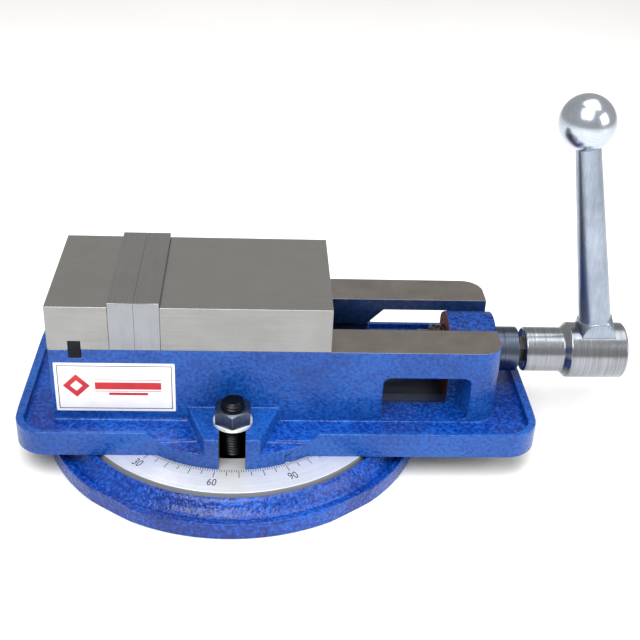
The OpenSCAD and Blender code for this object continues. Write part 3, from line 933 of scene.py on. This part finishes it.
@dataclass
class Dial:
    """The graduated ring: one degree lines with a number each thirty degrees."""

    zero_deg: float = -67.15  # from -Y toward +X, where the zero line stands
    inner_mm: float = 110.4
    top_mm: float = 25.42
    ends_mm: tuple[float, float, float] = (113.3, 118.1, 120.1)
    digit_low: float = 122.2
    digit_high: float = 130.7
    digit_width: float = 0.66  # share of the plain letter width
    cap_share: float = 0.7  # height of a digit as a share of the font size

    def _numbers(self, material: Material) -> Object:
        """Makes the numbers as one mesh.

        Args:
            material: the engraving's finish.

        Returns:
            The object.
        """
        bm = bmesh.new()
        for value in range(0, 360, 30):
            curve = bpy.data.curves.new("number", "FONT")
            curve.body = str(value)
            curve.size = (self.digit_high - self.digit_low) * MM / self.cap_share
            curve.extrude = 0.00002
            curve.align_x = "CENTER"
            curve.resolution_u = 3
            text = bpy.data.objects.new("number", curve)
            bpy.context.scene.collection.objects.link(text)
            graph = bpy.context.evaluated_depsgraph_get()
            graph.update()
            mesh = bpy.data.meshes.new_from_object(text.evaluated_get(graph))
            bpy.data.objects.remove(text)
            angle = math.radians(self.zero_deg + value)
            place = Matrix.Translation((0, -self.digit_high * MM, self.top_mm * MM))
            mesh.transform(Matrix.Rotation(angle, 4, "Z") @ place @ Matrix.Diagonal((self.digit_width, 1, 1, 1)))
            bm.from_mesh(mesh)
        made = bpy.data.meshes.new("dial_numbers")
        bm.to_mesh(made)
        bm.free()
        made.materials.append(material)
        return link_object("dial_numbers", made)

    def build(self, paints: Paints) -> None:
        """Makes the lines and numbers on the base.

        Args:
            paints: the finishes made so far.
        """
        ink = paints.of(ENGRAVING)
        first, second, third = self.ends_mm
        phase = self.zero_deg - 90
        pieces = [
            TickRing("degree_lines", 360, self.inner_mm, first, 0.5, phase, self.top_mm).build(ink),
            TickRing("five_degree_lines", 72, first, second, 0.6, phase, self.top_mm).build(ink),
            TickRing("ten_degree_lines", 36, second, third, 0.6, phase, self.top_mm).build(ink),
            self._numbers(ink),
        ]
        for piece in pieces:
            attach(piece, Body.BASE.value)
            LOG.info("%s: %d faces", piece.name, len(piece.data.polygons))


@dataclass
class ClampStud:
    """A tee bolt whose free end carries a real thread."""

    node: str
    side: int
    bolt_r: float = 83.5
    radius: float = 9.4
    pitch: float = 2.54
    low_z: float = 27.0
    top_z: float = 76.1
    tee_z: tuple[float, float] = (5.5, 15.0)
    tee_x: float = 16.8
    tee_y: float = 15.3
    tee_corner: float = 2.0

    def build(self, paints: Paints) -> None:
        """Makes the stud, its tee head and its thread as one piece.

        Args:
            paints: the finishes made so far.
        """
        steel = paints.of(OXIDE)
        high = self.tee_z[1]
        core = self.radius - 1.35
        shank = lathe("stud", [(0, high - 0.5), (self.radius - 0.1, high - 0.5),
                               (self.radius - 0.1, self.low_z), (core, self.low_z + 1.2),
                               (core, self.top_z - 1.0), (core - 1.0, self.top_z), (0, self.top_z)], 64)
        thread = Thread("ridge", self.radius, self.pitch, self.top_z - self.low_z - 3.4, 1.4).build(steel)
        thread.data.transform(Matrix.Translation((0, 0, (self.low_z + 2.4) * MM)))
        x, y, c = self.tee_x, self.tee_y, self.tee_corner
        rim = [(-x, -y + c), (-x + c, -y), (x - c, -y), (x, -y + c),
               (x, y - c), (x - c, y), (-x + c, y), (-x, y - c)]
        head = stacked("tee", [[(px, py, z) for px, py in rim] for z in self.tee_z])
        made = merged(self.node + "_skin", (shank, thread.data, head), steel)
        bpy.data.objects.remove(thread)
        made.transform(Matrix.Translation((0, self.side * self.bolt_r * MM, 0)))
        obj = link_object(self.node + "_piece", made)
        smooth(obj, 40)
        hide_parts(self.node)
        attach(obj, Body.BODY.value)
        LOG.info("%s: %d faces", obj.name, len(made.polygons))


@dataclass
class LeadScrew:
    """The lead screw: square left-hand thread, shoulder, journal and hexagon end."""

    axis_z: float = SCREW_Z
    x0: float = -42.8
    thread_end: float = 152.0
    shoulder: float = 160.2
    bearing: float = 171.2
    journal_end: float = 247.8
    hex_end: float = 289.6
    radius: float = 14.0
    journal_r: float = 12.5
    shoulder_r: float = 16.0
    hex_af: float = 21.0
    pitch: float = 5.08

    def build(self, paints: Paints) -> None:
        """Makes the screw as one piece.

        Args:
            paints: the finishes made so far.
        """
        steel = paints.of(SCREW_STEEL_SHADED)
        core = self.radius - 2.6
        x = self.x0
        neck = self.shoulder - 4
        profile = [(0, 0), (core - 1, 0), (core, 1), (core, self.thread_end - x),
                   (self.radius - 0.1, self.thread_end - x + 1), (self.radius - 0.1, neck - x),
                   (self.journal_r - 1, neck - x), (self.journal_r - 1, self.shoulder - x),
                   (self.shoulder_r - 0.5, self.shoulder - x), (self.shoulder_r, self.shoulder - x + 0.5),
                   (self.shoulder_r, self.bearing - x), (self.journal_r, self.bearing - x),
                   (self.journal_r, self.journal_end - x - 0.4), (self.journal_r - 0.4, self.journal_end - x),
                   (0, self.journal_end - x)]
        shank = lathe("screw", profile, 80)
        ridge = Thread("screw_ridge", self.radius, self.pitch, self.thread_end - x - 4, 2.7,
                       True, True, 36).build(steel)
        ridge.data.transform(Matrix.Translation((0, 0, 2.6 * MM)))
        r = self.hex_af / math.sqrt(3)
        ring = [(r * math.cos(math.radians(60 * i)), r * math.sin(math.radians(60 * i))) for i in range(6)]
        z0, z1 = self.journal_end - x - 0.5, self.hex_end - x
        k = (r - 1.6) / r
        end = stacked("hex", [[(a, b, z0) for a, b in ring], [(a, b, z1 - 1.0) for a, b in ring],
                              [(a * k, b * k, z1) for a, b in ring]])
        made = merged("lead_screw_skin", (shank, ridge.data, end), steel)
        bpy.data.objects.remove(ridge)
        made.transform(Matrix.Translation((x * MM, 0, self.axis_z * MM)) @ Matrix.Rotation(math.pi / 2, 4, "Y"))
        obj = link_object("lead_screw_piece", made)
        smooth(obj, 35)
        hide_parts("lead_screw")
        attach(obj, Body.SCREW.value)
        LOG.info("%s: %d faces", obj.name, len(made.polygons))


@dataclass
class Label:
    """The printed plate: a thin border and a plain red device, with no lettering."""

    x0: float = -145.1
    x1: float = -47.6
    z0: float = 50.0
    z1: float = 96.7
    face_y: float = -64.0

    def _flat(self, name: str, rings: Sequence[Sequence[tuple[float, float]]], lift: float,
              material: Material) -> Object:
        """Makes thin printed shapes on the plate.

        Args:
            name: the piece's name.
            rings: outlines as (x, z) in millimetres, each convex.
            lift: height of the ink over the plate in millimetres.
            material: the ink.

        Returns:
            The object.
        """
        points: list[tuple[float, float, float]] = []
        faces: list[tuple[int, ...]] = []
        for ring in rings:
            n, s = len(ring), len(points)
            points += [(x, y, z) for y in (self.face_y + 0.05, self.face_y - lift) for x, z in ring]
            faces += [tuple(range(s, s + n)), tuple(range(s + 2 * n - 1, s + n - 1, -1))]
            faces += [(s + i, s + (i + 1) % n, s + n + (i + 1) % n, s + n + i) for i in range(n)]
        mesh = mesh_from(name, points, faces)
        mesh.materials.append(material)
        obj = link_object(name, mesh)
        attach(obj, Body.BODY.value)
        return obj

    @staticmethod
    def _bar(x0: float, x1: float, z0: float, z1: float) -> list[tuple[float, float]]:
        """Corners of an upright rectangle."""
        return [(x0, z0), (x1, z0), (x1, z1), (x0, z1)]

    def build(self, paints: Paints) -> None:
        """Makes the border and the red device.

        Args:
            paints: the finishes made so far.
        """
        x0, x1, z0, z1 = self.x0 + 2.4, self.x1 - 2.4, self.z0 + 2.4, self.z1 - 2.4
        w = 0.7
        border = [self._bar(x0, x1, z0, z0 + w), self._bar(x0, x1, z1 - w, z1),
                  self._bar(x0, x0 + w, z0 + w, z1 - w), self._bar(x1 - w, x1, z0 + w, z1 - w)]
        self._flat("label_border", border, 0.04, paints.of(LABEL_LINE))
        cx, cz = x0 + 15.0, (z0 + z1) / 2 + 1.5
        lozenge = [(cx - 11, cz), (cx, cz - 11), (cx + 11, cz), (cx, cz + 11)]
        bars = [self._bar(cx + 15, x1 - 9, cz - 3.4, cz + 3.4), self._bar(cx + 26, x1 - 20, cz - 9.0, cz - 6.6)]
        self._flat("label_red_print", [lozenge, *bars], 0.04, paints.of(LABEL_RED))
        inner = [(cx - 5, cz), (cx, cz - 5), (cx + 5, cz), (cx, cz + 5)]
        self._flat("label_white_print", [inner], 0.07, paints.of(LABEL_FILM))
        rules = [self._bar(cx + 15, x1 - 9, cz + 5.6, cz + 6.1), self._bar(cx + 15, x1 - 9, cz - 5.4, cz - 4.9)]
        self._flat("label_rules", rules, 0.04, paints.of(LABEL_RED))
        LOG.info("label printed")


@dataclass
class Crank:
    """The ball crank: turned hub, square forged block, tapered arm and ball."""

    axis_z: float = SCREW_Z
    arm_x: float = 320.0
    lean_deg: float = 11.65
    arm_len: float = 215.2
    ball_r: float = 22.8

    def _place(self) -> Matrix:
        """Place of the leaning arm in the row frame."""
        return (Matrix.Translation((self.arm_x * MM, 0, self.axis_z * MM))
                @ Matrix.Rotation(-math.radians(self.lean_deg), 4, "Y"))

    def _put(self, name: str, mesh: Mesh, finish: WorkedSteel, paints: Paints, node: str) -> None:
        """Places a crank piece that stands for its node.

        Args:
            name: the piece's name.
            mesh: its mesh, upright from the crank's centre.
            finish: its finish.
            paints: the finishes made so far.
            node: the CAD node that it stands for.
        """
        mesh.transform(self._place())
        mesh.materials.clear()
        mesh.materials.append(paints.of(finish))
        obj = link_object(name, mesh)
        smooth(obj, 40)
        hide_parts(node)
        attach(obj, Body.CRANK.value)
        LOG.info("%s: %d faces", name, len(mesh.polygons))

    def build(self, paints: Paints) -> None:
        """Makes the ball; the hub and the arm are dressed nodes.

        Args:
            paints: the finishes made so far.
        """
        top = self.arm_len
        r = self.ball_r
        neck = 11.4
        start = math.asin(neck / r)
        rows = [(0.0, top - r * math.cos(start) + 0.3), (neck - 0.6, top - r * math.cos(start) + 0.05)]
        count = 40
        for i in range(count + 1):
            a = start + (math.pi - start) * i / count
            rows.append((max(0.0, r * math.sin(a)), top - r * math.cos(a)))
        self._put("crank_ball_piece", lathe("crank_ball_skin", rows, 96), BALL_STEEL, paints, "crank_ball")


@dataclass
class CrankArm(DressedNode):
    """The arm: sharp on the turned cone, softer on the forged block."""

    def edge_rule(self, mid: Vector, convex: bool) -> float:
        """Soft block corners, fine elsewhere."""
        return 0.9 if mid.z < 112 else 0.3


# ---------------------------------------------------------------- studio
@dataclass
class Studio:
    """Floor, soft lights and camera."""

    lens_mm: float = 60.42
    yaw_deg: float = 3.949
    pitch_deg: float = 30.494
    roll_deg: float = 2.794
    eye_mm: tuple[float, float, float] = (17.813, -798.017, 573.331)

    def _light(self, name: str, power: float, size: float, place: Sequence[float], aim: Sequence[float]) -> None:
        """Adds a square soft light.

        Args:
            name: its name.
            power: watts.
            size: side in metres.
            place: where it stands, in metres.
            aim: the point that it faces, in metres.
        """
        data = bpy.data.lights.new(name, "AREA")
        data.energy, data.size = power, size
        lamp = bpy.data.objects.new(name, data)
        lamp.location = place
        lamp.rotation_mode = "QUATERNION"
        lamp.rotation_quaternion = (Vector(aim) - Vector(place)).to_track_quat("-Z", "Y")
        bpy.context.scene.collection.objects.link(lamp)

    def camera(self) -> None:
        """Places the camera."""
        yaw, pitch, roll = (math.radians(v) for v in (self.yaw_deg, self.pitch_deg, self.roll_deg))
        ahead = Vector((math.sin(yaw) * math.cos(pitch), math.cos(yaw) * math.cos(pitch), -math.sin(pitch)))
        level = Vector((math.cos(yaw), -math.sin(yaw), 0))
        up = level.cross(ahead)
        right = math.cos(roll) * level + math.sin(roll) * up
        top = -math.sin(roll) * level + math.cos(roll) * up
        data = bpy.data.cameras.new("studio_camera")
        data.lens, data.sensor_width = self.lens_mm, 36.0
        data.clip_start, data.clip_end = 0.05, 30.0
        eye = bpy.data.objects.new("studio_camera", data)
        turn = Matrix((right, top, -ahead)).transposed().to_4x4()
        eye.matrix_world = Matrix.Translation([c * MM for c in self.eye_mm]) @ turn
        bpy.context.scene.collection.objects.link(eye)
        bpy.context.scene.camera = eye

    def build(self, paints: Paints) -> None:
        """Makes the floor, world and lights.

        Args:
            paints: the finishes made so far.
        """
        side = 6000.0
        corners = [(-side, -side, 0), (side, -side, 0), (side, side, 0), (-side, side, 0)]
        floor_mesh = mesh_from("studio_floor", corners, [(0, 1, 2, 3)])
        floor_mesh.materials.append(paints.of(FLOOR_PAINT))
        floor = link_object("studio_floor", floor_mesh)
        world = bpy.data.worlds.new("studio_world")
        world.use_nodes = True
        world.node_tree.nodes.clear()
        sky = add(world.node_tree, "ShaderNodeBackground", {"Color": linear("#F4F2EE"), "Strength": 0.6})
        add(world.node_tree, "ShaderNodeOutputWorld", {"Surface": sky.outputs[0]})
        bpy.context.scene.world = world
        self._light("key", 48.0, 1.4, (-0.3, -1.2, 1.95), (0.05, 0, 0.05))
        self._light("top", 22.0, 1.6, (0.5, 0.1, 2.2), (0.05, 0, 0.05))
        self._light("fill", 12.0, 1.0, (1.7, -0.9, 1.0), (0.1, 0, 0.1))
        self.camera()
        scene = bpy.context.scene
        scene.view_settings.view_transform = "Standard"
        LOG.info("studio ready")


def plain_nodes() -> list[DressedNode]:
    """Lists small CAD nodes that only need their edges eased and their finish.

    Returns:
        The nodes, ready to build.
    """
    rows: list[tuple[str, Slot, WorkedSteel | MattePaint, float]] = [
        ("fixed_plate_screws movable_plate_screws fixed_jaw_bolts", Slot.OXIDE, OXIDE, 0.4),
        ("jaw_key", Slot.OXIDE, OXIDE, 0.5),
        ("jaw_nut", Slot.IRON, DARK_IRON, 0.8),
        ("half_ball_segment", Slot.SCREW, SCREW_STEEL_SHADED, 0.2),
        ("jaw_set_screw", Slot.OXIDE, OXIDE, 0.2),
        ("thrust_washer_screw thrust_washer_housing", Slot.SCREW, SCREW_STEEL_SHADED, 0.2),
        ("thrust_cage", Slot.BRASS, BRASS, 0.05),
        ("thrust_balls", Slot.POLISHED, BALL_STEEL, 0.05),
        ("bearing_collar", Slot.OXIDE, OXIDE_COLLAR, 0.3),
        ("collar_pin", Slot.SCREW, SCREW_STEEL_SHADED, 0.3),
        ("label_plate", Slot.LABEL, LABEL_FILM, 0.12),
        ("clamp_washer_front clamp_washer_back", Slot.ZINC, ZINC, 0.3),
        ("clamp_nut_front clamp_nut_back", Slot.OXIDE, OXIDE_NUT, 0.3),
    ]
    return [DressedNode(node, slot, (finish,), edge)
            for nodes, slot, finish, edge in rows for node in nodes.split()]


def main() -> None:
    """Builds every piece in order."""
    logging.basicConfig(level=logging.INFO, format="%(name)s: %(message)s")
    paints = Paints()
    studio = Studio()
    studio.build(paints)
    ViseBody("vise_body", Slot.ENAMEL,
             (ENAMEL, ENAMEL_PAINTED_SHADE, PRIMER, BED_STEEL, BORE_STEEL, ENAMEL_INNER_SHADE, ENAMEL_DOME_SHADE),
             segments=3, cuts=((0, 160.5), (0, 110.0), (0, 0.0), (1, 0.0))).build(paints)
    SwivelBase("swivel_base", Slot.ENAMEL, (ENAMEL_PAINTED_SHADE, DIAL_STEEL, BASE_IRON, ENAMEL_INNER_SHADE),
               segments=3).build(paints)
    screws = ((1, PLATE_SCREW_Y), (1, -PLATE_SCREW_Y))
    block, plate = (GROUND_TOP_LIT, GROUND_SIDE_SHADED), (PLATE_TOP_LIT, PLATE_SIDE_SHADED)
    for node, finishes, cuts in (("fixed_jaw", block, (*screws, (1, JAW_BOLT_Y), (1, -JAW_BOLT_Y))),
                                 ("movable_jaw", block, (*screws, (1, 0.0))),
                                 ("fixed_jaw_plate", plate, screws), ("movable_jaw_plate", plate, screws)):
        GroundBlock(node, Slot.GROUND, finishes, 0.5, cuts=cuts).build(paints)
    DressedNode("crank_hub", Slot.POLISHED, (BRUSHED,), 0.5).build(paints)
    CrankArm("crank_arm", Slot.POLISHED, (FORGED,), segments=3).build(paints)
    for piece in plain_nodes():
        piece.build(paints)
    Crank().build(paints)
    LeadScrew().build(paints)
    ClampStud("clamp_bolt_front", -1).build(paints)
    ClampStud("clamp_bolt_back", 1).build(paints)
    Dial().build(paints)
    Label().build(paints)


if __name__ == "__main__":
    main()
